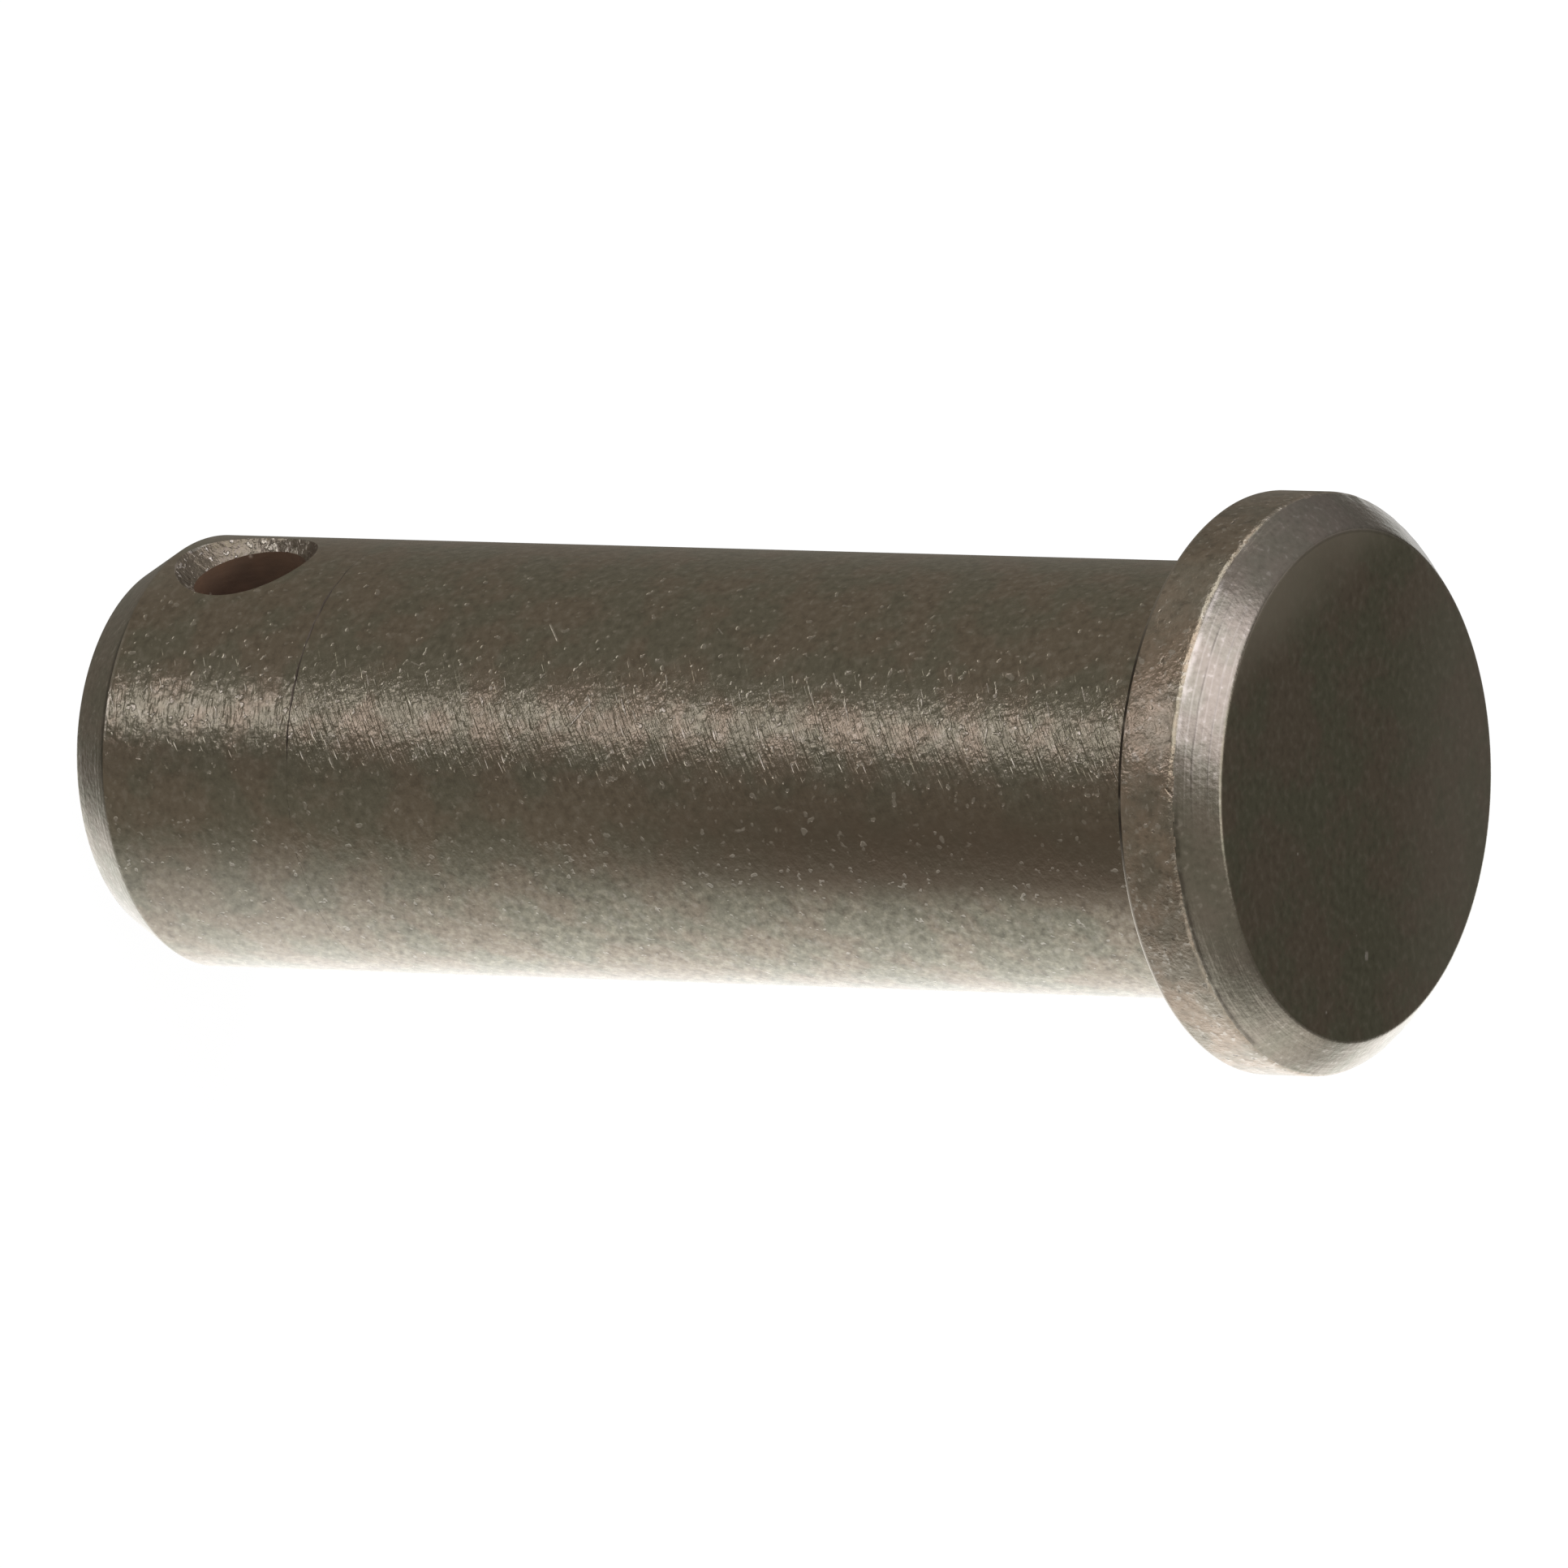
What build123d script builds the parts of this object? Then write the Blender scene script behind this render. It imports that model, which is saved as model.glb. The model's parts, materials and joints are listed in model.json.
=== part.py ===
from build123d import *
import math
import os

# A plain headed pin (clevis pin), turned from round bar as one piece.
# It stands on the flat end of its point with the head up. The origin is the
# centre of that flat end, and +Z is the pin's axis, towards the head.
# All sizes are in millimetres.

# Shank: 3/8 in bar size
shank_diameter = 9.525
length_under_head = 28.4

# Head: the full diameter of the 1/2 in bar that the pin is turned from
head_diameter = 12.7
head_height = 2.2
head_chamfer = 0.78
head_underside_edge = 0.12
head_face_edge = 0.05
neck_fillet = 0.3

# Point: a long chamfer that leads the pin into its holes
point_length = 1.13
point_angle = 30.0
point_edge = 0.06

# Cross hole for a split pin, drilled along X and countersunk at both mouths.
# Its centre lies 1 in under the head, which is 3 mm from the flat end.
hole_diameter = 2.54
hole_from_end = 3.0
countersink_diameter = 3.34
countersink_angle = 82.0

# Levels along the axis that follow from the sizes above
shank_radius = shank_diameter / 2
head_radius = head_diameter / 2
head_top = length_under_head + head_height
face_radius = head_radius - head_chamfer
point_radius = shank_radius - point_length * math.tan(math.radians(point_angle))


def edge_ring(builder, level, radius):
    """The round edge of this radius at this level, picked by its size and place."""
    rings = builder.edges().filter_by(GeomType.CIRCLE)
    return rings.sort_by(lambda ring: abs(ring.radius - radius) + abs(ring.center().Z - level))[0]


def turned_blank():
    """The lathe work: one half profile, turned about Z, with its edges broken."""
    with BuildPart() as blank:
        with BuildSketch(Plane.XZ):
            with BuildLine():
                Polyline(
                    (0, 0),
                    (point_radius, 0),
                    (shank_radius, point_length),
                    (shank_radius, length_under_head),
                    (head_radius, length_under_head),
                    (head_radius, head_top - head_chamfer),
                    (face_radius, head_top),
                    (0, head_top),
                    close=True,
                )
            make_face()
        revolve(axis=Axis.Z)

        neck = edge_ring(blank, length_under_head, shank_radius)
        fillet(neck, neck_fillet)
        underside = edge_ring(blank, length_under_head, head_radius)
        fillet(underside, head_underside_edge)
        face_rim = edge_ring(blank, head_top, face_radius)
        fillet(face_rim, head_face_edge)
        point_rim = edge_ring(blank, 0, point_radius)
        fillet(point_rim, point_edge)
    return blank.part


def cross_hole():
    """The drill and the two countersinks, as one cutter along X."""
    mouth_depth = (countersink_diameter - hole_diameter) / 2 / math.tan(math.radians(countersink_angle / 2))
    cone_bottom = shank_radius - mouth_depth
    reach = shank_radius + mouth_depth
    reach_radius = countersink_diameter - hole_diameter / 2
    with BuildPart() as cutter:
        with BuildSketch(Plane.XZ):
            with BuildLine():
                Polyline(
                    (-reach, 0),
                    (-reach, reach_radius),
                    (-cone_bottom, hole_diameter / 2),
                    (cone_bottom, hole_diameter / 2),
                    (reach, reach_radius),
                    (reach, 0),
                    close=True,
                )
            make_face()
        revolve(axis=Axis.X)
    return Pos(0, 0, hole_from_end) * cutter.part


def clevis_pin():
    """The whole pin: one solid, turned and then cross-drilled."""
    return turned_blank() - cross_hole()


os.makedirs("parts", exist_ok=True)
export_step(clevis_pin(), "parts/clevis_pin.step")
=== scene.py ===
# %% [markdown]
# # A turned steel pin
# The object is a clevis pin: a round shank with a flat head at one end and a
# hole for a split pin at the other. A lathe made it in one piece, so nearly
# all of its shape is one half outline, turned about the axis. It stands on
# its small flat end, with the head up. The packed CAD model is loaded first,
# because it fixes the frame and the overall size.

# %% Load the fixed frame
import json
import math

import bmesh
import bpy
from mathutils import Matrix, Vector, noise

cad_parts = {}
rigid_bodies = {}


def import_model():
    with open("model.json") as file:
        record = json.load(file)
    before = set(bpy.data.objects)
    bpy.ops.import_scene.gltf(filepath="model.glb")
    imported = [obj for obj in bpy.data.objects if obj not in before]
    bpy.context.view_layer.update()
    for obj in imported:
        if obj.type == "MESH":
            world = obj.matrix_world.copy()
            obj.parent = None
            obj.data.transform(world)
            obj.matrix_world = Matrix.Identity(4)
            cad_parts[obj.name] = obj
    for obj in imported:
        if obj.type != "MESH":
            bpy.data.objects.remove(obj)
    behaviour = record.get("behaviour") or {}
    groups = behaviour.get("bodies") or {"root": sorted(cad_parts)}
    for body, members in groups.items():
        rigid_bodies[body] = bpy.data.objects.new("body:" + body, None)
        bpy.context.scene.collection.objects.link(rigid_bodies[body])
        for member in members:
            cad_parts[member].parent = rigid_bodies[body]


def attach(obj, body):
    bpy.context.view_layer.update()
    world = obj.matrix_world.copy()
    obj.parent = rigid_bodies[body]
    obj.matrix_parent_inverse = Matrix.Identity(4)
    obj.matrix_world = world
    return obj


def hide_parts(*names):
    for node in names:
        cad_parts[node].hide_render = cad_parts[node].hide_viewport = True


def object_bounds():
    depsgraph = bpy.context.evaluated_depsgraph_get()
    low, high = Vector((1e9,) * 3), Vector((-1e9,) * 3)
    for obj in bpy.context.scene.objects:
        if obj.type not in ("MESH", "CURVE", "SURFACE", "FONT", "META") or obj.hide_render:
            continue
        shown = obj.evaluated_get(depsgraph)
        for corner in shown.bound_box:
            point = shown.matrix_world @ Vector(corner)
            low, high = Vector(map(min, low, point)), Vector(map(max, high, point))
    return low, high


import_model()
cad_low, cad_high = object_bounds()
print("CAD box, mm:", [round(1000 * v, 3) for v in (*cad_low, *cad_high)])

# %% [markdown]
# ## Sizes
# Blender works in metres here, and a lathe drawing in millimetres, so one
# value turns one into the other. The overall height and the head's diameter
# could be typed in again, but they are read from the CAD box, so that the two
# models can't drift apart. The other sizes are those of the drawing.

# %% Sizes of the drawing
MM = 0.001

pin_height = cad_high.z
head_radius = (cad_high.x - cad_low.x) / 2
head_height = 2.2 * MM
head_chamfer = 0.78 * MM
shank_radius = 9.525 / 2 * MM
point_length = 1.13 * MM
point_radius = 4.11 * MM
neck_fillet = 0.3 * MM

point_edge_round = 0.06 * MM
shank_edge_round = 0.05 * MM
underside_edge_round = 0.12 * MM
rim_edge_round = 0.09 * MM
face_edge_round = 0.07 * MM

hole_height = 3.0 * MM
hole_radius = 1.27 * MM
countersink_radius = 1.67 * MM
countersink_slope = math.tan(math.radians(82 / 2))

score_height = 5.96 * MM
score_depth = 0.02 * MM
score_half_width = 0.022 * MM

under_head = pin_height - head_height
chamfer_start = pin_height - head_chamfer
face_radius = head_radius - head_chamfer
print("length under the head, mm:", round(under_head / MM, 2))

# %% [markdown]
# ## Front and top
# Some marks belong to one side of the pin only. They could be placed by X and
# Y, but on a round part an angle is easier to read. Front is the side that the
# photograph shows. Top lies a quarter turn further round, and it is up in the
# picture, because the pin lies across it. The line back to the viewer rises
# from the front, and the camera and one finish use it.

# %% Front and top
front_turn = math.radians(26.33)
front = Vector((-math.sin(front_turn), -math.cos(front_turn), 0))
top = Vector((-math.cos(front_turn), math.sin(front_turn), 0))

camera_elevation = math.radians(32.49)
back = front * math.cos(camera_elevation) + Vector((0, 0, math.sin(camera_elevation)))


def degrees_round(point):
    """How far round the pin a point lies, from the front towards the top."""
    return math.degrees(math.atan2(point.dot(top), point.dot(front)))


print("the hole's nearer mouth lies", round(degrees_round(Vector((-1, 0, 0)))), "degrees round")

# %% [markdown]
# ## The lathe work
# The pin is a solid of revolution. It could be put together from cylinders and
# cones, but then every edge between them would have to be matched and broken
# by hand. Here the half outline is a chain of edges in the XZ plane, and each
# corner that a tool or a file has broken is rounded by a vertex bevel. Long
# straight stretches are cut into short ones, so that later steps have points
# to move. Then one spin makes the whole body. It leaves doubled points on the
# axis, so they are merged before the normals are turned outwards.

# %% Helpers for outlines
ROUND_STEPS = 360
LONGEST_EDGE = 0.3 * MM
SAME_POINT = 0.0005 * MM


def outline(bm, points):
    """A chain of edges through points of (radius, height), in the XZ plane."""
    corners = [bm.verts.new((radius, 0, height)) for radius, height in points]
    for first, second in zip(corners, corners[1:]):
        bm.edges.new((first, second))
    return corners


def round_corner(bm, corner, radius, segments=4):
    """Breaks one corner of a chain of edges with a small round."""
    bmesh.ops.bevel(
        bm, geom=[corner], offset=radius, affect="VERTICES", segments=segments,
        profile=0.5, material=-1,
    )


def cut_long_edges(bm, longest):
    """Cuts every edge that is longer than this into equal shorter ones."""
    for edge in list(bm.edges):
        cuts = math.ceil(edge.calc_length() / longest) - 1
        if cuts > 0:
            bmesh.ops.subdivide_edges(bm, edges=[edge], cuts=cuts)


def turn(bm, steps):
    """Spins everything in the mesh once round the Z axis, and closes it."""
    bmesh.ops.spin(
        bm, geom=bm.verts[:] + bm.edges[:], cent=(0, 0, 0), axis=(0, 0, 1),
        angle=math.tau, steps=steps, use_merge=True, use_duplicate=False,
    )
    bmesh.ops.remove_doubles(bm, verts=bm.verts[:], dist=SAME_POINT)
    bmesh.ops.recalc_face_normals(bm, faces=bm.faces[:])


def finished(bm, name):
    """Turns a bmesh into an object that sits at the origin."""
    mesh = bpy.data.meshes.new(name)
    bm.to_mesh(mesh)
    bm.free()
    made = bpy.data.objects.new(name, mesh)
    bpy.context.scene.collection.objects.link(made)
    return made


# %% The turned body
body = bmesh.new()
corners = outline(body, [
    (0, 0),
    (point_radius, 0),
    (shank_radius, point_length),
    (shank_radius, score_height - score_half_width),
    (shank_radius - score_depth, score_height),
    (shank_radius, score_height + score_half_width),
    (shank_radius, under_head),
    (head_radius, under_head),
    (head_radius, chamfer_start),
    (face_radius, pin_height),
    (0, pin_height),
])
point_edge, shank_edge, neck = corners[1], corners[2], corners[6]
underside_edge, rim_edge, face_edge = corners[7], corners[8], corners[9]
round_corner(body, point_edge, point_edge_round)
round_corner(body, shank_edge, shank_edge_round)
round_corner(body, neck, neck_fillet)
round_corner(body, underside_edge, underside_edge_round)
round_corner(body, rim_edge, rim_edge_round)
round_corner(body, face_edge, face_edge_round)
cut_long_edges(body, LONGEST_EDGE)
turn(body, ROUND_STEPS)
print("turned body:", len(body.verts), "points")

# %% [markdown]
# ## Wear in the metal
# Two forms are not quite round. The line scored near the point wanders, and it
# fades out below the front and towards the top. The edge between the head's
# rim and its chamfer wanders too, because the bar's skin was not turned and is
# a little uneven. Both could be painted as bump, but an edge seen from the
# side would stay straight. So the points of the rings that lie there are moved
# instead, by a smooth noise that runs round the pin and closes on itself.

# %% Move the points
score_wander = 0.035 * MM
score_wander_lumps = 14
score_unevenness = 0.9
score_uneven_lumps = 13
score_start_angles = (-4, 6)
score_end_angles = (68, 42)
faint_score = 0.1

rim_edge_drop = 0.035 * MM
rim_edge_long_wave = 0.03 * MM
rim_edge_long_lumps = 5
rim_edge_short_wave = 0.025 * MM
rim_edge_short_lumps = 17
near_rim_edge = 0.1 * MM


def wave(point, lumps):
    """Smooth noise from about -1 to 1 round the pin, with so many lumps in each radian."""
    return noise.noise(Vector((point.x, point.y, 0)).normalized() * lumps)


def ease(value, low, high):
    """0 at low, 1 at high and smooth between; low may be the larger."""
    share = min(max((value - low) / (high - low), 0), 1)
    return share * share * (3 - 2 * share)


def score_strength(point):
    """How deep the scored line is at a point: whole above the front, faint elsewhere."""
    turn_round = degrees_round(point)
    whole = ease(turn_round, *score_start_angles) * ease(turn_round, *score_end_angles)
    return faint_score + (1 - faint_score) * whole


def move_score(vertex):
    """Lets one point of the scored line wander, and makes it as deep as it is there."""
    place = vertex.co
    from_score = place.z - score_height
    uneven = 1 + score_unevenness * wave(place, score_uneven_lumps)
    strength = score_strength(place) * uneven
    at_bottom = abs(from_score) < score_half_width / 2
    radius = shank_radius - (score_depth * strength if at_bottom else 0)
    flat = Vector((place.x, place.y, 0)).normalized() * radius
    level = score_height + from_score * strength + score_wander * wave(place, score_wander_lumps)
    vertex.co = (flat.x, flat.y, level)


def rim_edge_fall(place):
    """How far the edge between the rim and its chamfer lies below a true circle."""
    long_wave = rim_edge_long_wave * wave(place, rim_edge_long_lumps)
    return rim_edge_drop + long_wave + rim_edge_short_wave * wave(place, rim_edge_short_lumps)


moved = 0
for vertex in body.verts:
    place = vertex.co.copy()
    if abs(place.z - score_height) < 2 * score_half_width:
        move_score(vertex)
        moved += 1
    from_axis = math.hypot(place.x, place.y)
    if math.hypot(from_axis - head_radius, place.z - chamfer_start) < near_rim_edge:
        vertex.co.z -= rim_edge_fall(place)
        moved += 1

pin = finished(body, "turned_pin")
print("points moved:", moved)

# %% [markdown]
# ## The cross hole
# The hole was drilled through the finished shank, and a larger drill was
# pressed into both mouths to take off the burr. On a round shank that leaves
# a rim which is not flat but saddle shaped. The rim's points could be worked
# out one by one, but cutting it with a boolean gives that curve by itself.
# The cutter is one more turned outline, laid along X.

# %% Cut the cross hole
mouth_depth = (countersink_radius - hole_radius) / countersink_slope
cone_bottom = shank_radius - mouth_depth
reach = shank_radius + 2 * mouth_depth
reach_radius = countersink_radius + 2 * mouth_depth * countersink_slope
drill_steps = 96

drill = bmesh.new()
outline(drill, [(0, -reach), (reach_radius, -reach), (hole_radius, -cone_bottom),
                (hole_radius, cone_bottom), (reach_radius, reach), (0, reach)])
cut_long_edges(drill, LONGEST_EDGE)
turn(drill, drill_steps)
along_x = Matrix.Rotation(math.radians(90), 4, "Y")
at_hole = Matrix.Translation((0, 0, hole_height))
bmesh.ops.transform(drill, matrix=at_hole @ along_x, verts=drill.verts[:])
cutter = finished(drill, "drill")

cut = pin.modifiers.new("cross hole", "BOOLEAN")
cut.operation = "DIFFERENCE"
cut.solver = "EXACT"
cut.object = cutter
cut_pin = pin.evaluated_get(bpy.context.evaluated_depsgraph_get())
cut_mesh = bpy.data.meshes.new_from_object(cut_pin)
pin.modifiers.clear()
pin.data = cut_mesh
bpy.data.objects.remove(cutter)
print("after the cut:", len(cut_mesh.vertices), "points", len(cut_mesh.polygons), "faces")

# %% [markdown]
# ## Shader maths
# A finish is a sum of patterns and masks. In the editor that is a web of Math
# nodes and links, and in a script a long list of them. Arithmetic is easier to
# read, so this class wraps one output socket, and its operators add the nodes.

# %% A small socket wrapper
class Flow:
    """One output socket of a node tree, with operators that add Math nodes."""

    def __init__(self, tree, socket):
        self.tree = tree
        self.socket = socket

    def node(self, kind, settings=None, values=None, output=0):
        """Adds a node, sets its properties, then fills or links its inputs."""
        made = self.tree.nodes.new(kind)
        for name, value in (settings or {}).items():
            setattr(made, name, value)
        for name, value in (values or {}).items():
            if isinstance(value, Flow):
                self.tree.links.new(value.socket, made.inputs[name])
            else:
                made.inputs[name].default_value = value
        return Flow(self.tree, made.outputs[output] if made.outputs else None)

    def math(self, operation, *terms):
        """One Math node; the terms fill its inputs in order."""
        return self.node("ShaderNodeMath", {"operation": operation}, dict(enumerate(terms)))

    def __add__(self, other):
        return self.math("ADD", self, other)

    def __radd__(self, other):
        return self.math("ADD", other, self)

    def __sub__(self, other):
        return self.math("SUBTRACT", self, other)

    def __rsub__(self, other):
        return self.math("SUBTRACT", other, self)

    def __mul__(self, other):
        return self.math("MULTIPLY", self, other)

    def __rmul__(self, other):
        return self.math("MULTIPLY", other, self)

    def ramp(self, low, high):
        """0 below low, 1 above high, smooth between; low may be the larger."""
        return self.node("ShaderNodeMapRange", {"interpolation_type": "SMOOTHSTEP"},
                         {"Value": self, "From Min": low, "From Max": high})

    def band(self, start, full, fade, end):
        """1 from full to fade, 0 before the start and after the end, smooth between."""
        return self.ramp(start, full) * self.ramp(end, fade)

    def most(self, other):
        """The larger of the two."""
        return self.math("MAXIMUM", self, other)

    def size(self):
        """The value without its sign."""
        return self.math("ABSOLUTE", self)

    def dot(self, direction):
        """The dot product of this vector with a fixed one."""
        return self.node("ShaderNodeVectorMath", {"operation": "DOT_PRODUCT"},
                         {0: self, 1: direction}, output="Value")


print("methods of Flow:", sum(map(callable, vars(Flow).values())))

# %% [markdown]
# ## Where a pattern lies
# All the finishes are solid patterns: they fill the space that the metal is in.
# They could use unwrapped UVs, but a turned part has no good place for a seam.
# Object coordinates have none, and they stay with the metal when it moves.
# Stretching, twisting or squeezing them gives a pattern its direction. In all
# that follows, levels and lengths are millimetres, and angles are degrees
# round the pin from the front towards the top.

# %% Coordinates
SQUEEZE = 0.65


def new_material(name):
    """An empty material, and its object coordinates in millimetres."""
    material = bpy.data.materials.new(name)
    material.use_nodes = True
    tree = material.node_tree
    tree.nodes.clear()
    metres = Flow(tree, None).node("ShaderNodeTexCoord", output="Object")
    return material, metres.node("ShaderNodeVectorMath", {"operation": "SCALE"},
                                 {0: metres, "Scale": 1 / MM})


def part_of(place, axis):
    """One of X, Y and Z of a vector."""
    return place.node("ShaderNodeSeparateXYZ", None, {"Vector": place}, output=axis)


def stretched(place, scale):
    """The coordinates times a scale for each axis: a small value makes long marks."""
    return place.node("ShaderNodeVectorMath", {"operation": "MULTIPLY"}, {0: place, 1: scale})


def flattened(place):
    """The coordinates squeezed along the line to the viewer, so that lumps look
    as long as they are wide there, however steep the surface lies."""
    shift = place.node("ShaderNodeVectorMath", {"operation": "SCALE"},
                       {0: back * -SQUEEZE, "Scale": place.dot(back)})
    return place.node("ShaderNodeVectorMath", {"operation": "ADD"}, {0: place, 1: shift})


def twisted(place, rate):
    """The coordinates wound round the pin's axis, by so many radians for each mm of height."""
    return place.node("ShaderNodeVectorRotate", {"rotation_type": "Z_AXIS"},
                      {"Vector": place, "Angle": part_of(place, "Z") * rate})


def angle_round(place):
    """Degrees round the pin, as degrees_round gives them."""
    return place.math("ARCTAN2", place.dot(top), place.dot(front)) * math.degrees(1)


print("along that line a pattern is squeezed to", round(1 - SQUEEZE, 2), "of its depth")

# %% [markdown]
# ## Marks in the steel
# Steel that has been handled is never even. It has soft patches, fine grain,
# chips and single scratches. Each could be a picture, but a noise cut off at a
# level gives chips of any size, and a scratch is only two distances: how far
# along it a point lies, and how far beside it. A ring that the lathe left is a
# narrow band of heights, which wanders a little.

# %% Patterns and marks
# The rise of the noise over a chip's border, and the share of its size at which a mark is full
CHIP_EDGE = 0.08
FULL_SHARE = 0.3


def cloud(place, scale, detail=2.0, roughness=0.5):
    """Soft noise from 0 to 1 about 0.5, with so many lumps for each mm."""
    return place.node("ShaderNodeTexNoise", None, {
        "Vector": place, "Scale": scale, "Detail": detail, "Roughness": roughness}, output=0)


def chips(place, scale, start):
    """Irregular little spots, where a noise rises over a start value: 1 in a spot, 0 outside."""
    return cloud(place, scale, 1.0).ramp(start, start + CHIP_EDGE)


def dents(place, scale, share, size=0.3):
    """Round dents in some cells of a Voronoi pattern: 1 at the middle of a dent, 0 outside."""
    values = {"Vector": place, "Scale": scale}
    distance = place.node("ShaderNodeTexVoronoi", None, values, output="Distance")
    chance = part_of(place.node("ShaderNodeTexVoronoi", None, values, output="Color"), "X")
    return distance.ramp(size, 0.0) * chance.math("GREATER_THAN", chance, 1 - share)


def scratch(place, radius, angle, level, length, slant, width=0.03):
    """One straight mark on a round face: 1 on it, 0 beside it.

    Its middle lies at an angle round the pin and at a level up it. The slant is
    in degrees from the pin's axis."""
    across = (angle_round(place) - angle) * math.radians(radius)
    up = part_of(place, "Z") - level
    slope = math.radians(slant)
    along = up * math.cos(slope) + across * math.sin(slope)
    aside = across * math.cos(slope) - up * math.sin(slope)
    on_line = aside.size().ramp(width, FULL_SHARE * width)
    return on_line * along.size().ramp(length / 2, FULL_SHARE * length)


def ring(place, level, width=0.02):
    """A thin line round the pin at one level, which wanders and comes and goes."""
    wander = cloud(place, 0.6, 2.0) * 0.08 - 0.04
    off = (part_of(place, "Z") + wander - level).size()
    return off.ramp(width, FULL_SHARE * width) * cloud(place, 1.5, 3.0).ramp(0.2, 0.6)


print("patterns and marks:", [f.__name__ for f in (cloud, chips, dents, scratch, ring)])

# %% [markdown]
# ## Colour in layers
# Plain steel is warm grey in some places and cooler in others. On that base
# lie thin layers: bare metal where something has rubbed, dirt where it has
# not, and in some places painted highlights and painted shade in those same
# two colours. Each layer is one colour and one mask, so a finish can be
# written down as a list of them, from the metal outwards. The shader is the
# same for all.
# Its bump takes a height in millimetres, so a scratch is as deep as it says.

# %% Colours and the shader
WARM_STEEL = (0.425, 0.366, 0.288, 1)
COOL_STEEL = (0.382, 0.364, 0.286, 1)
# Bare steel for chips and rubbed places, and also the colour of painted highlights and painted
# light
BARE_STEEL_AND_HIGHLIGHT = (0.85, 0.80, 0.72, 1)
# Dirt, and also the colour of painted shade
DIRT_AND_SHADE = (0.05, 0.04, 0.032, 1)


def blend_colours(factor, first, second):
    """Mixes two colours by a factor."""
    return factor.node("ShaderNodeMix", {"data_type": "RGBA"},
                       {0: factor, 6: first, 7: second}, output=2)


def patched(patches, half_width, first, second):
    """Two colours in soft patches; the half width says how soft their borders are."""
    return blend_colours(patches.ramp(0.5 - half_width, 0.5 + half_width), first, second)


def layered(steel, *layers):
    """Lays colours over a steel one after another, each through its own mask."""
    for mask, colour in layers:
        steel = blend_colours(mask, steel, colour)
    return steel


def speckled(place, steel, scale, amount):
    """Steel with a fine grain of paler and darker points."""
    grain = cloud(place, scale, 2.0)
    return layered(steel, (grain.ramp(0.5, 0.72) * amount, BARE_STEEL_AND_HIGHLIGHT),
                   (grain.ramp(0.5, 0.28) * amount, DIRT_AND_SHADE))


def finish_steel(material, place, colour, roughness, height, metallic=1.0):
    """The shader that all the finishes share. The height is in millimetres."""
    bump = place.node("ShaderNodeBump", None,
                      {"Height": height, "Distance": MM, "Strength": 1.0})
    shader = place.node("ShaderNodeBsdfPrincipled", None, {
        "Base Color": colour, "Metallic": metallic, "Roughness": roughness, "Normal": bump})
    place.node("ShaderNodeOutputMaterial", None, {"Surface": shader})
    print(material.name + ":", len(material.node_tree.nodes), "nodes")
    return material


print("steel, warm and cool:", WARM_STEEL[:3], COOL_STEEL[:3])

# %% [markdown]
# ## The ground shank
# A grinding wheel sized the shank, and the pin turned slowly against it, so
# the scratches lie on a slant. Below the scored line a lathe tool left fine
# rings instead. Anisotropic gloss could stand for both, but from near the
# marks are seen one by one, so they are a noise, stretched and then twisted.
# They are plain on the front and on the hidden half. Between the two the shank
# is worn smoother. The lower side is more mottled, and a part of it towards the
# head is darker. Chips are painted brighter where the highlight lies, and
# painted glints lie in that band and along the point's edge. The lower side
# near the point and the top by the point are painted lighter, as painted light.

# %% Ground shank
GRIND_TWIST = -0.38
LONG_STREAKS = (1, 1, 0.32)
SHORT_FLECKS = (1, 1, 0.65)
ROUND_THE_PIN = (0.35, 0.35, 1)
STREAK_DEPTH = 0.018
GRAIN_DEPTH = 0.018
CHIP_DEPTH = 0.012
OLIVE_SHEEN = (0.82, 0.76, 0.60, 1)
DARKER_BROWN = (0.25, 0.20, 0.155, 1)

# Angle, level, length, slant and width of each scratch that stands out
SINGLE_MARKS = [
    (36, 12.25, 0.75, -50, 0.03),
    (12.5, 13.5, 0.85, 50, 0.04),
    (10, 24.0, 0.45, 88, 0.03),
    (25, 9.0, 0.35, -20, 0.02),
    (38, 16.5, 0.3, -40, 0.02),
]


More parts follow.
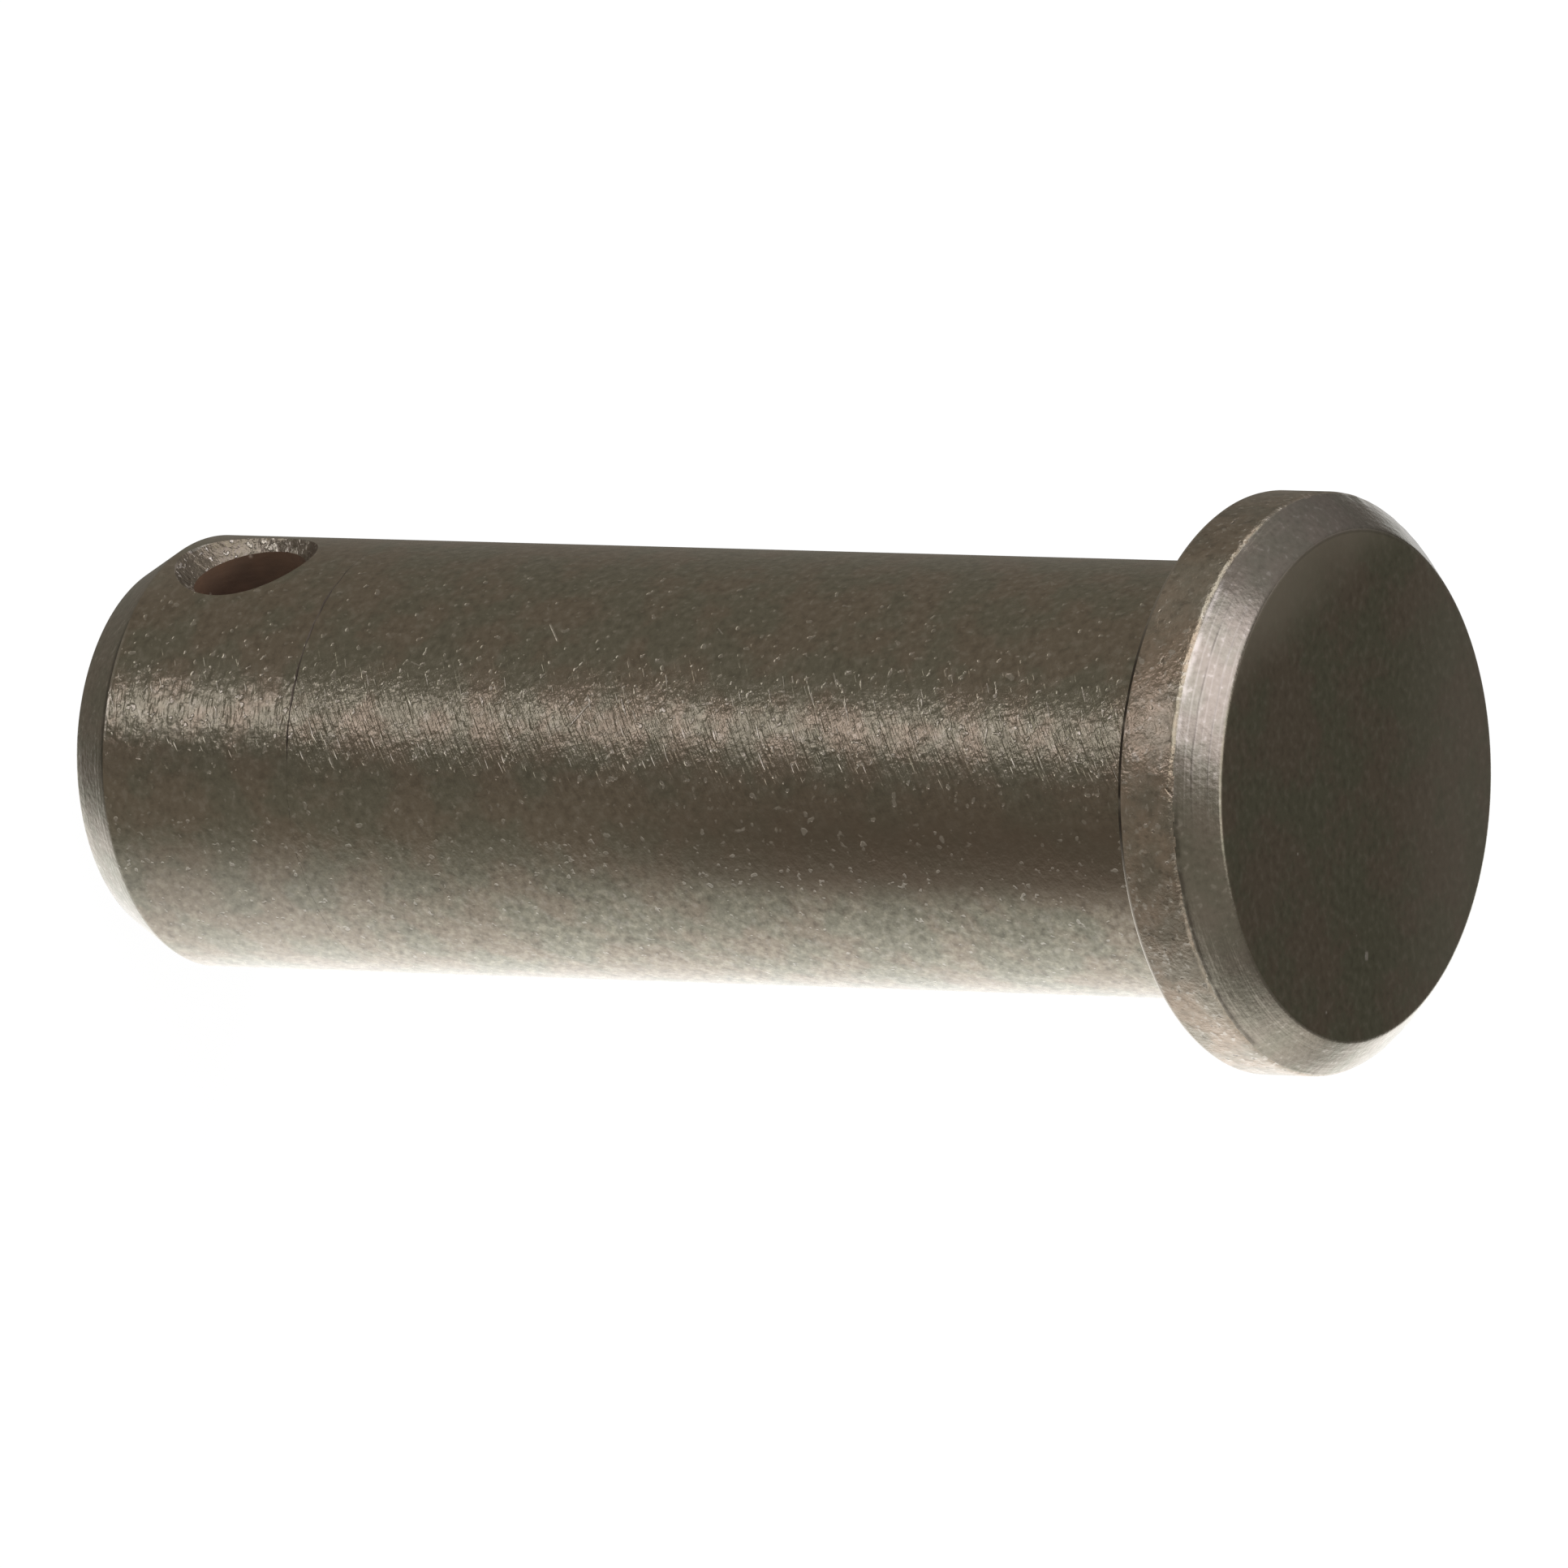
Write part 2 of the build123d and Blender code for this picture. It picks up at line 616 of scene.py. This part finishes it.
def ground_shank():
    """Slanting grinding scratches, finer rings near the point, and a few single marks."""
    material, place = new_material("ground_shank")
    level = part_of(place, "Z")
    side = angle_round(place)
    score_level = score_height / MM
    near_point = level.ramp(score_level + 0.1, score_level - 0.1)
    low_side = side.band(-140, -100, -38, -18)
    hidden = side.size().ramp(98, 125)
    lit = side.band(-8, 0, 26, 36)

    wound = twisted(place, GRIND_TWIST)
    slanting = cloud(stretched(wound, LONG_STREAKS), 7.0, 1.0)
    rings = cloud(stretched(place, ROUND_THE_PIN), 7.0, 1.0)
    streaks = slanting * (1 - near_point) + rings * near_point * 1.5
    streaks = streaks * (side.band(-22, 2, 20, 36) + hidden * 0.6)
    grain = cloud(place, 6.0, 2.0, 0.6) * (1 - low_side * 0.5) * (1 - near_point * 0.4)
    grain = grain * (1 - hidden * 0.4)
    wear = cloud(place, 1.3).ramp(0.3, 0.7) * 0.4 + 0.8
    marks = sum(scratch(place, shank_radius / MM, *mark) for mark in SINGLE_MARKS)
    # Painted glints: these flecks lie only in the highlight band, and chips are painted brighter
    # there
    glint_flecks = chips(stretched(wound, SHORT_FLECKS), 6.0, 0.69) * side.band(-7, 1, 21, 31)
    crumbs = chips(place, 4.4, 0.675) * side.band(-40, -24, 55, 75)
    chips_and_glints = chips(place, 6.0, 0.68) * (lit * 0.6 + low_side * 0.3 + hidden * 0.3 + 0.4)
    chips_and_glints = chips_and_glints.most(glint_flecks).most(crumbs * 0.6).most(marks * 0.8)
    height = (streaks * STREAK_DEPTH + grain * GRAIN_DEPTH) * wear - chips_and_glints * CHIP_DEPTH

    mottle = cloud(flattened(place), 6.0, 2.0, 0.6)
    darker_towards_head = level.ramp(11, 20) * side.band(-40, -28, -20, 3)
    painted_low_side_light = level.ramp(11, 4) * low_side * 0.12
    by_hole = level.ramp(2.6, 1.2) * side.band(38, 50, 120, 160) * 0.15
    edge_level = point_length / MM
    point_glint = level.ramp(edge_level + 0.1, edge_level + 0.03) * side.band(0, 5, 28, 38)
    steel = patched(cloud(place, 0.8, 3.0, 0.55), 0.1, WARM_STEEL, COOL_STEEL)
    steel = layered(
        speckled(place, steel, 5.5, 0.2),
        (mottle.ramp(0.48, 0.72) * low_side * 0.28, OLIVE_SHEEN),
        (mottle.ramp(0.48, 0.28) * low_side * 0.28, DIRT_AND_SHADE),
        # Darker on the lower front towards the head
        (darker_towards_head * 0.8, DARKER_BROWN),
        # Painted light: lighter on the lower side near the point and on the top by the point, and a
        # painted glint along the point's edge
        (painted_low_side_light + by_hole + point_glint * 0.4, BARE_STEEL_AND_HIGHLIGHT),
        (chips_and_glints * 0.7, BARE_STEEL_AND_HIGHLIGHT),
    )
    return finish_steel(material, place, steel, cloud(place, 2.0) * 0.12 + 0.19, height)


shank_steel = ground_shank()

# %% [markdown]
# ## The scored line
# Something sharp has run round the shank and left a line. The groove is a
# real one, cut into the outline. Its darkness could be left to the shadow in
# it, but it is narrower than that shadow can show, so the groove's shade is
# painted dark, and paler higher up, where the line is shallow.

# %% Scored line
SHALLOW_GROOVE_SHADE = (0.13, 0.11, 0.09, 1)


def scored_line():
    """The narrow line scored round the shank."""
    material, place = new_material("scored_line")
    shade_patches = cloud(place, 3.0).ramp(0.3, 0.7)
    shallow = angle_round(place).ramp(18, 36)
    steel = blend_colours(shade_patches.most(shallow), DIRT_AND_SHADE, SHALLOW_GROOVE_SHADE)
    return finish_steel(material, place, steel, 0.5, shade_patches * 0.01)


scored_steel = scored_line()

# %% [markdown]
# ## The bar's skin
# No tool has touched the head's rim. It is the bar as it was drawn: wrinkled,
# pitted, and paler than the ground shank. Sculpted wrinkles would be far below
# the size of the mesh's faces, so they are bump, from two noises of different
# grain. Round the rim a painted highlight lies a little above the front, and
# painted shade lies at the top and below the front. The corner under the head
# is painted dark on its front half, as shade, and that is a finish of its own,
# because its border is sharp: it follows the rounded edge.

# %% Bar skin and the corner under it
PALE_SKIN = (0.58, 0.475, 0.375, 1)
GREY_SKIN = (0.46, 0.415, 0.335, 1)
SKIN_HIGHLIGHT = (0.75, 0.74, 0.66, 1)
SHADED_SKIN = (0.25, 0.24, 0.195, 1)
UNSHADED_CORNER = (0.55, 0.50, 0.43, 1)
CORNER_SHADE = (0.10, 0.085, 0.07, 1)

# Angle, level, length, slant and width of the one nick in the rim
RIM_NICK = (-2.5, 29.75, 0.3, -50, 0.05)


def bar_skin():
    """The rim of the head: wrinkled, pitted and paler."""
    material, place = new_material("bar_skin")
    side = angle_round(place)
    wrinkles = cloud(place, 6.5, 2.0, 0.6) * 0.020 + cloud(place, 12.0) * 0.010
    wear = cloud(place, 1.0).ramp(0.35, 0.65) * 0.9 + 0.5
    pits = chips(place, 5.0, 0.70)
    nick = scratch(place, head_radius / MM, *RIM_NICK)
    height = wrinkles * wear - pits * 0.010 - nick * 0.01
    steel = layered(
        patched(cloud(place, 0.8, 4.0, 0.6), 0.12, PALE_SKIN, GREY_SKIN),
        # Painted light and shade round the rim: a highlight above the front, shade at the top and
        # below the front
        (side.band(28, 36, 44, 52) * 0.2, SKIN_HIGHLIGHT),
        (side.band(46, 54, 120, 160) * 0.4, SHADED_SKIN),
        (side.band(-52, -36, -22, -12) * 0.16, DIRT_AND_SHADE),
    )
    steel = layered(
        speckled(place, steel, 5.0, 0.22),
        (chips(place, 6.5, 0.63) * 0.55, BARE_STEEL_AND_HIGHLIGHT),
        (chips(place, 4.5, 0.66) * 0.25 + pits * 0.35 + nick * 0.6, DIRT_AND_SHADE),
    )
    return finish_steel(material, place, steel, cloud(place, 3.0) * 0.12 + 0.24, height)


def shaded_corner():
    """The underside edge of the head, painted dark on its front half, as shade."""
    material, place = new_material("shaded_corner")
    shade_patches = angle_round(place).band(-24, -8, 20, 40) * cloud(place, 2.0).ramp(0.1, 0.5)
    steel = blend_colours(shade_patches, UNSHADED_CORNER, CORNER_SHADE)
    return finish_steel(material, place, steel, 0.3, shade_patches * 0.01)


rim_steel = bar_skin()
corner_steel = shaded_corner()

# %% [markdown]
# ## The chamfers
# A lathe tool cut both chamfers, and its nose left rings that are much finer
# than the mesh. A wave texture would space them too evenly, so they are a
# noise of one dimension that runs along the height. Two rings near the head
# show by themselves, where the tool has dragged. The edge to the rim has a
# painted highlight where the lamp falls on it, and painted shade below the
# front. The point chamfer is painted darker as shade. The head's chamfer is
# painted lighter below the front and darker at the top, as light and shade,
# and its fine rings carry painted highlight stripes where it is lit.

# %% Chamfers
WARM_CUT = (0.455, 0.41, 0.342, 1)
COOL_CUT = (0.41, 0.393, 0.318, 1)


def tool_cut():
    """Very fine rings, and two that show, where the tool's nose has dragged."""
    material, place = new_material("tool_cut")
    level = part_of(place, "Z")
    side = angle_round(place)
    start_level = chamfer_start / MM
    point_level = point_length / MM
    at_head = level.ramp(20, 21)
    at_point = level.ramp(2, 1.5)
    lit = side.band(-14, 2, 30, 48)

    fine = place.node("ShaderNodeTexNoise", {"noise_dimensions": "1D"}, {
        "W": level + cloud(place, 0.8) * 0.04, "Scale": 16.0, "Detail": 2.0}, output=0)
    height = fine * 0.003 + cloud(place, 8.0) * 0.007
    dragged = (ring(place, start_level + 0.30) + ring(place, start_level + 0.56) * 0.6) * lit
    edge = level.ramp(start_level + 0.12, start_level + 0.04) * at_head
    edge = edge * cloud(place, 2.5, 3.0).ramp(0.32, 0.6)
    point_line = level.ramp(point_level - 0.14, point_level - 0.04) * at_point
    point_line = point_line * side.band(-20, 0, 25, 42)
    steel = layered(
        speckled(place, patched(cloud(place, 1.2, 3.0), 0.15, WARM_CUT, COOL_CUT), 7.0, 0.16),
        (chips(place, 7.0, 0.66) * 0.3, BARE_STEEL_AND_HIGHLIGHT),
        # Painted shade on the point chamfer, painted light on the head's chamfer below the front,
        # and painted shade at its top
        (at_point * 0.15, DIRT_AND_SHADE),
        (side.band(-80, -60, -35, -10) * at_head * 0.18, BARE_STEEL_AND_HIGHLIGHT),
        (side.band(48, 92, 120, 160) * at_head * 0.40, DIRT_AND_SHADE),
        # A painted highlight on the edge to the rim where the lamp falls, and painted shade on it
        # below the front
        (edge * side.band(2, 14, 40, 64) * 0.7, BARE_STEEL_AND_HIGHLIGHT),
        (edge * side.band(-80, -60, -12, 0) * 0.5, DIRT_AND_SHADE),
        # Painted highlight stripes along the fine rings where the head's chamfer is lit
        (fine.ramp(0.5, 0.7) * lit * at_head * 0.22, BARE_STEEL_AND_HIGHLIGHT),
        (dragged * 0.42 + point_line * 0.5, DIRT_AND_SHADE),
    )
    return finish_steel(material, place, steel, cloud(place, 3.0) * 0.1 + 0.2, height)


chamfer_steel = tool_cut()

# %% [markdown]
# ## The flat ends
# The ends were faced with a fine cut and then lay about for years, so they are
# dark and mottled more than shiny. A plain dark colour would look like paint.
# Here two steels lie in ragged patches, a greenish one and a brownish one.
# The face is painted paler at its top as a sheen, and paler again at the side
# away from the front, as painted light. Its one plain nick has a given place.

# %% Faced ends
BROWN_FACE = (0.40, 0.345, 0.275, 1)
GREEN_FACE = (0.352, 0.354, 0.266, 1)
FACE_SHEEN = (0.72, 0.665, 0.56, 1)
BRIGHT_SPECK = (0.9, 0.85, 0.8, 1)
SHEEN_SIDE = front * 0.5 + top * 0.866

# Where the one nick in the face lies, along the front and along the top
NICK_FRONT = -0.6
NICK_TOP = -3.7


def faced_end():
    """The flat ends: very fine and mottled, and painted paler at the top of the head, as a sheen.
    """
    material, place = new_material("faced_end")
    side = angle_round(place)
    beside_nick = (place.dot(front) - NICK_FRONT).size()
    along_nick = (place.dot(top) - NICK_TOP).size()
    nick = beside_nick.ramp(0.08, 0.03) * along_nick.ramp(0.13, 0.05)
    specks = dents(place, 3.0, 0.03, 0.16).most(nick)
    height = cloud(place, 8.0, 2.0, 0.65) * 0.006 - specks * 0.008
    away = place.dot(-front).ramp(0.5, 4.8)
    top_sheen = (place.dot(SHEEN_SIDE) + cloud(place, 0.5) * 1.2).ramp(4.2, 6.2)
    from_axis = place.node("ShaderNodeVectorMath", {"operation": "LENGTH"},
                           {0: stretched(place, (1, 1, 0))}, output="Value")
    edge = face_radius / MM
    dark_top_edge = from_axis.ramp(edge - 0.11, edge - 0.05) * side.band(52, 64, 98, 112)
    steel = patched(cloud(place, 0.6, 5.0, 0.65), 0.1, BROWN_FACE, GREEN_FACE)
    steel = layered(
        speckled(place, steel, 5.0, 0.18),
        # Painted light: paler at the side away from the front, and a painted sheen at the top
        (away * 0.30, BARE_STEEL_AND_HIGHLIGHT),
        (top_sheen * 0.9, FACE_SHEEN),
        # Darker along the face's edge at the top
        (dark_top_edge * 0.3, DIRT_AND_SHADE),
        (specks, BRIGHT_SPECK),
    )
    return finish_steel(material, place, steel, cloud(place, 1.5, 3.0) * 0.1 + 0.25, height)


end_steel = faced_end()

# %% [markdown]
# ## The hole
# A blunt drill tore the mouths of the hole, so they glitter, and the wall
# inside is dull brown with dried cutting oil. One finish for the whole hole
# would be simpler. But bare steel is a metal and dried oil is not, and only
# the shader's metallic value can say so, which makes them two.

# %% Mouths and wall
WARM_TEAR = (0.38, 0.335, 0.29, 1)
COOL_TEAR = (0.32, 0.285, 0.24, 1)
LOW_TEAR = (0.26, 0.225, 0.165, 1)
SHADED_TEAR = (0.16, 0.11, 0.08, 1)
BROWN_STAIN = (0.13, 0.075, 0.046, 1)
DARK_STAIN = (0.105, 0.064, 0.041, 1)
WALL_SHADE = (0.06, 0.034, 0.021, 1)
DRY_SPOT = (0.5, 0.42, 0.34, 1)
HOLE_LEVEL = hole_height / MM


def countersink_cut():
    """The mouths of the hole, torn by a blunt drill."""
    material, place = new_material("countersink_cut")
    level = part_of(place, "Z")
    low_end = level.ramp(HOLE_LEVEL - 0.6, HOLE_LEVEL - 1.3)
    high_end = level.ramp(HOLE_LEVEL + 0.7, HOLE_LEVEL + 1.25)
    glitter = chips(place, 7.0, 0.55)
    tears = cloud(place, 6.0, 2.0, 0.6)
    height = (tears * 0.07 + glitter * 0.02) * (1 - low_end * 0.2)
    steel = layered(
        patched(cloud(place, 3.0), 0.1, WARM_TEAR, COOL_TEAR),
        (low_end * 0.8, LOW_TEAR),
        (high_end * 0.7, SHADED_TEAR),
        (glitter * (0.7 - high_end * 0.5), BARE_STEEL_AND_HIGHLIGHT),
    )
    return finish_steel(material, place, steel, cloud(place, 5.0) * 0.1 + 0.3, height)


def drilled_wall():
    """The wall inside: rings of the drill under dried cutting oil."""
    material, place = new_material("drilled_wall")
    rings = cloud(stretched(place, (1, 0.3, 0.3)), 8.0)
    pits = dents(place, 4.0, 0.1)
    lower_wall_shade = part_of(place, "Z").ramp(HOLE_LEVEL - 0.4, HOLE_LEVEL - 1.2)
    stain = layered(
        patched(cloud(place, 1.5, 3.0), 0.15, BROWN_STAIN, DARK_STAIN),
        (pits * 0.6, DRY_SPOT),
        # Painted shade on the lower part of the wall
        (lower_wall_shade * 0.35, WALL_SHADE),
    )
    height = rings * 0.01 - pits * 0.02
    return finish_steel(material, place, stain, 0.7, height, metallic=0.0)


mouth_steel = countersink_cut()
wall_stain = drilled_wall()

# %% [markdown]
# ## Which face gets which finish
# The faces could be picked while the body is made, but the boolean cut makes
# new ones. A turned part can sort its own faces afterwards: the middle of each
# face has a height and a distance from the axis, and those say which cut made
# it. Edges sharper than the angle below stay crisp, and the rest is smooth.

# %% Sort the faces
FINISHES = [shank_steel, scored_steel, rim_steel, corner_steel, chamfer_steel, end_steel,
            mouth_steel, wall_stain]
SHANK, SCORE, RIM, CORNER, CHAMFER, END, MOUTH, WALL = range(len(FINISHES))
CLOSE = 0.02 * MM
SCORE_REACH = 3 * score_half_width
LEAST_LEAN = 0.3
CRISP_ANGLE = math.radians(24)


def finish_of(face):
    """The finish of one face of the pin, by where its middle lies."""
    middle = face.center
    from_axis = math.hypot(middle.x, middle.y)
    from_hole = math.hypot(middle.y, middle.z - hole_height)
    inside = from_axis < shank_radius - CLOSE
    if inside and from_hole < hole_radius + CLOSE:
        return WALL
    by_mouth = from_hole < countersink_radius and point_length < middle.z < 2 * hole_height
    if inside and by_mouth and abs(middle.x) > shank_radius / 2:
        if abs(face.normal.x) > LEAST_LEAN:
            return MOUTH
    if middle.z > pin_height - CLOSE or middle.z < CLOSE / 2:
        return END
    if middle.z > chamfer_start or middle.z < point_length:
        return CHAMFER
    by_score = abs(middle.z - score_height) < SCORE_REACH
    if by_score and from_axis < shank_radius - SAME_POINT:
        return SCORE
    low_on_head = middle.z < under_head + underside_edge_round
    if low_on_head and from_axis > head_radius - underside_edge_round:
        return CORNER
    if from_axis > shank_radius + neck_fillet:
        return RIM
    return SHANK


pin.data.materials.clear()
for finish in FINISHES:
    pin.data.materials.append(finish)
for face in pin.data.polygons:
    face.material_index = finish_of(face)
pin.data.shade_smooth()
pin.data.set_sharp_from_angle(angle=CRISP_ANGLE)
for index, finish in enumerate(FINISHES):
    faces = sum(face.material_index == index for face in pin.data.polygons)
    print(finish.name + ":", faces, "faces")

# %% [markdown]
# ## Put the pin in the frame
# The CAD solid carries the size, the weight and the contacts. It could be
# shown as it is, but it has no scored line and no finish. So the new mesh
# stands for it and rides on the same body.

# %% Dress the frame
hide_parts("clevis_pin")
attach(pin, "root")
print("dressed:", pin.name, "on root, with", len(pin.data.materials), "materials")

# %% [markdown]
# ## Camera
# The photograph was taken from far away with a long lens, so the near side of
# the pin looks hardly larger than the far side. It shows the pin lying across
# the picture. The pin could be laid down for that, but a part stands the same
# way in every scene. So the camera is rolled by a quarter turn instead.

# %% Camera
camera_roll = math.radians(91.75)
camera_distance = 887.8 * MM
focal_length = 931.7
sensor_width = 36.0
nearest_shown = 0.05
farthest_shown = 20.0
aim = Vector((0.32, -0.16, 15.87)) * MM

lens = bpy.data.cameras.new("camera")
lens.sensor_width = sensor_width
lens.lens = focal_length
lens.clip_start = nearest_shown
lens.clip_end = farthest_shown
camera = bpy.data.objects.new("camera", lens)
bpy.context.scene.collection.objects.link(camera)
upright = back.to_track_quat("Z", "Y").to_matrix().to_4x4()
to_place = Matrix.Translation(aim + back * camera_distance)
camera.matrix_world = to_place @ upright @ Matrix.Rotation(camera_roll, 4, "Z")
bpy.context.scene.camera = camera
print("picture width at the pin, mm:", round(camera_distance / MM * sensor_width / focal_length, 1))

# %% [markdown]
# ## Floor
# The pin stands on white paper that the camera can't tell from the background.
# A floor lit to pure white would take so much light that the steel would look
# washed out. So most of this one shines by itself, and a small share is real
# paper, which keeps the pin's shadow. Mirror rays pass through it to the
# studio, where the table has its own light. It lies a hair below the pin's
# end, so that the two never share a plane.

# %% Floor
floor_radius = 0.6
floor_drop = 0.01 * MM
floor_corners = 96
own_light_share = 0.94
own_light = 1.05
PAPER = (0.85, 0.85, 0.85, 1)
WHITE = (1, 1, 1, 1)

floor_mesh = bmesh.new()
bmesh.ops.create_circle(floor_mesh, cap_ends=True, segments=floor_corners, radius=floor_radius)
bmesh.ops.translate(floor_mesh, vec=(0, 0, -floor_drop), verts=floor_mesh.verts[:])
floor = finished(floor_mesh, "floor")

floor_material = bpy.data.materials.new("pale_floor")
floor_material.use_nodes = True
floor_material.node_tree.nodes.clear()
sheet = Flow(floor_material.node_tree, None)
paper = sheet.node("ShaderNodeBsdfDiffuse", None, {"Color": PAPER})
glow = sheet.node("ShaderNodeEmission", None, {"Color": WHITE, "Strength": own_light})
both = sheet.node("ShaderNodeMixShader", None, {0: own_light_share, 1: paper, 2: glow})
sheet.node("ShaderNodeOutputMaterial", None, {"Surface": both})
floor.data.materials.append(floor_material)
floor.visible_glossy = False
floor.visible_shadow = False
print("floor:", 2 * floor_radius, "m across")

# %% [markdown]
# ## Studio
# Steel has little colour of its own: it shows the room. The photograph's room
# is dark and warm, with a white table below, a window low in front, a softbox
# above it, and some dim shelves. They could be planes round the pin, but each
# is only seen as a smear in a mirror, so a mask on the world's direction does
# as well and is easier to move. Straight rays from the camera see plain white.
# Mirror rays see that white too, where the table is, and the room elsewhere.

# %% Directions in the studio
world = bpy.data.worlds.new("studio")
world.use_nodes = True
world.node_tree.nodes.clear()
studio = Flow(world.node_tree, None)
where = studio.node("ShaderNodeTexCoord", output="Generated")
height = where.dot((0, 0, 1))
bearing = where.math("ARCTAN2", where.dot(top), where.dot(front)) * math.degrees(1)


def spot(along_front, along_top, along_up, start, full):
    """A soft round patch in one direction. Start and full are cosines of angles from it."""
    direction = front * along_front + top * along_top + Vector((0, 0, along_up))
    return where.dot(direction).ramp(start, full)


below = height.band(-1.0, -0.9, -0.2, 0.2)
far_side = where.dot(front).ramp(-0.865, -0.90) * height.band(-0.5, -0.42, -0.26, -0.16)
table = (bearing.ramp(-37, -132) * below).most(far_side)
table_glare = bearing.ramp(-110, -170) * 0.6
table_start = bearing.band(-95, -60, -25, -8) * below * 0.06
high_table = where.dot(top).ramp(-0.45, -0.85) * height.band(-0.2, 0.2, 0.2, 0.65)

window = spot(0.786, 0.304, -0.537, 0.983, 0.9972)
softbox = spot(0.37, 0.50, 0.78, 0.83, 0.985)
ceiling = spot(0.45, -0.35, 0.82, 0.7, 0.98)
fill = spot(-0.5, 0.78, 0.35, 0.7, 0.97)
skylight = height.ramp(0.93, 0.99)
shelf = height.band(-0.2, 0.0, 0.12, 0.3) * bearing.band(-5, 12, 95, 120)
upper_shelf = height.band(0.1, 0.2, 0.45, 0.62) * bearing.band(-5, 12, 50, 70)
low_wall = height.ramp(0.1, -0.3) * 0.05 + bearing.ramp(-20, 50) * height.ramp(0.1, -0.2) * 0.04
print("masks in the studio:", len(world.node_tree.nodes), "nodes")

# %% Light in the studio
ROOM_DARKNESS = 0.113


def card(colour, strength):
    """Light of one colour, as strong as a mask or a number says."""
    return studio.node("ShaderNodeBackground", None, {"Color": colour, "Strength": strength})


def with_light(first, second):
    """Two lights together."""
    return studio.node("ShaderNodeAddShader", None, {0: first, 1: second})


room = card((1.0, 0.92, 0.80, 1), low_wall + ROOM_DARKNESS + ceiling * 0.10 + table_start)
for light in (
    card((1.0, 0.98, 0.95, 1), high_table * 0.85),
    card((1.0, 0.93, 0.97, 1), window * 1.45),
    card((0.96, 0.915, 1.0, 1), softbox * 1.28 + fill * 0.2),
    card((1.0, 0.97, 0.92, 1), shelf * 1.2 + upper_shelf * 0.8 + skylight * 0.8),
):
    room = with_light(room, light)

camera_ray = studio.node("ShaderNodeLightPath", output="Is Camera Ray")
clear_ray = studio.node("ShaderNodeLightPath", output="Is Transmission Ray")
mirror_ray = studio.node("ShaderNodeLightPath", output="Is Glossy Ray")
white = card(WHITE, 1 + mirror_ray * table_glare)
white_share = camera_ray.most(clear_ray).most(mirror_ray * table)
shown = studio.node("ShaderNodeMixShader", None, {0: white_share, 1: room, 2: white})
studio.node("ShaderNodeOutputWorld", None, {"Surface": shown})
bpy.context.scene.world = world
print("the whole studio:", len(world.node_tree.nodes), "nodes")

# %% [markdown]
# ## Lamp
# The studio lights the steel, but it throws no shadow to speak of. One disk
# lamp above the pin gives the paper its soft shadow. A sun lamp would draw a
# hard one. The steel doesn't mirror this lamp, because the softbox is already
# there.

# %% Lamp
lamp_width = 0.12
lamp_power = 1.2
lamp_distance = 0.5
lamp_direction = Vector((-0.3, 0.2, 1.0)).normalized()

lamp = bpy.data.lights.new("key", "AREA")
lamp.shape = "DISK"
lamp.size = lamp_width
lamp.energy = lamp_power
key = bpy.data.objects.new("key", lamp)
bpy.context.scene.collection.objects.link(key)
key.location = lamp_direction * lamp_distance
key.rotation_mode = "QUATERNION"
key.rotation_quaternion = lamp_direction.to_track_quat("Z", "Y")
key.visible_glossy = False
print("lamp:", lamp_power, "W from", lamp_distance, "m")

# %% [markdown]
# ## Colour handling
# A filmic view would bend the greys of the steel to look like film. The
# standard view shows each colour as it was written, which suits a part that
# will be used under other light.

# %% Colour handling
bpy.context.scene.view_settings.view_transform = "Standard"
print("view transform:", bpy.context.scene.view_settings.view_transform)

# %% [markdown]
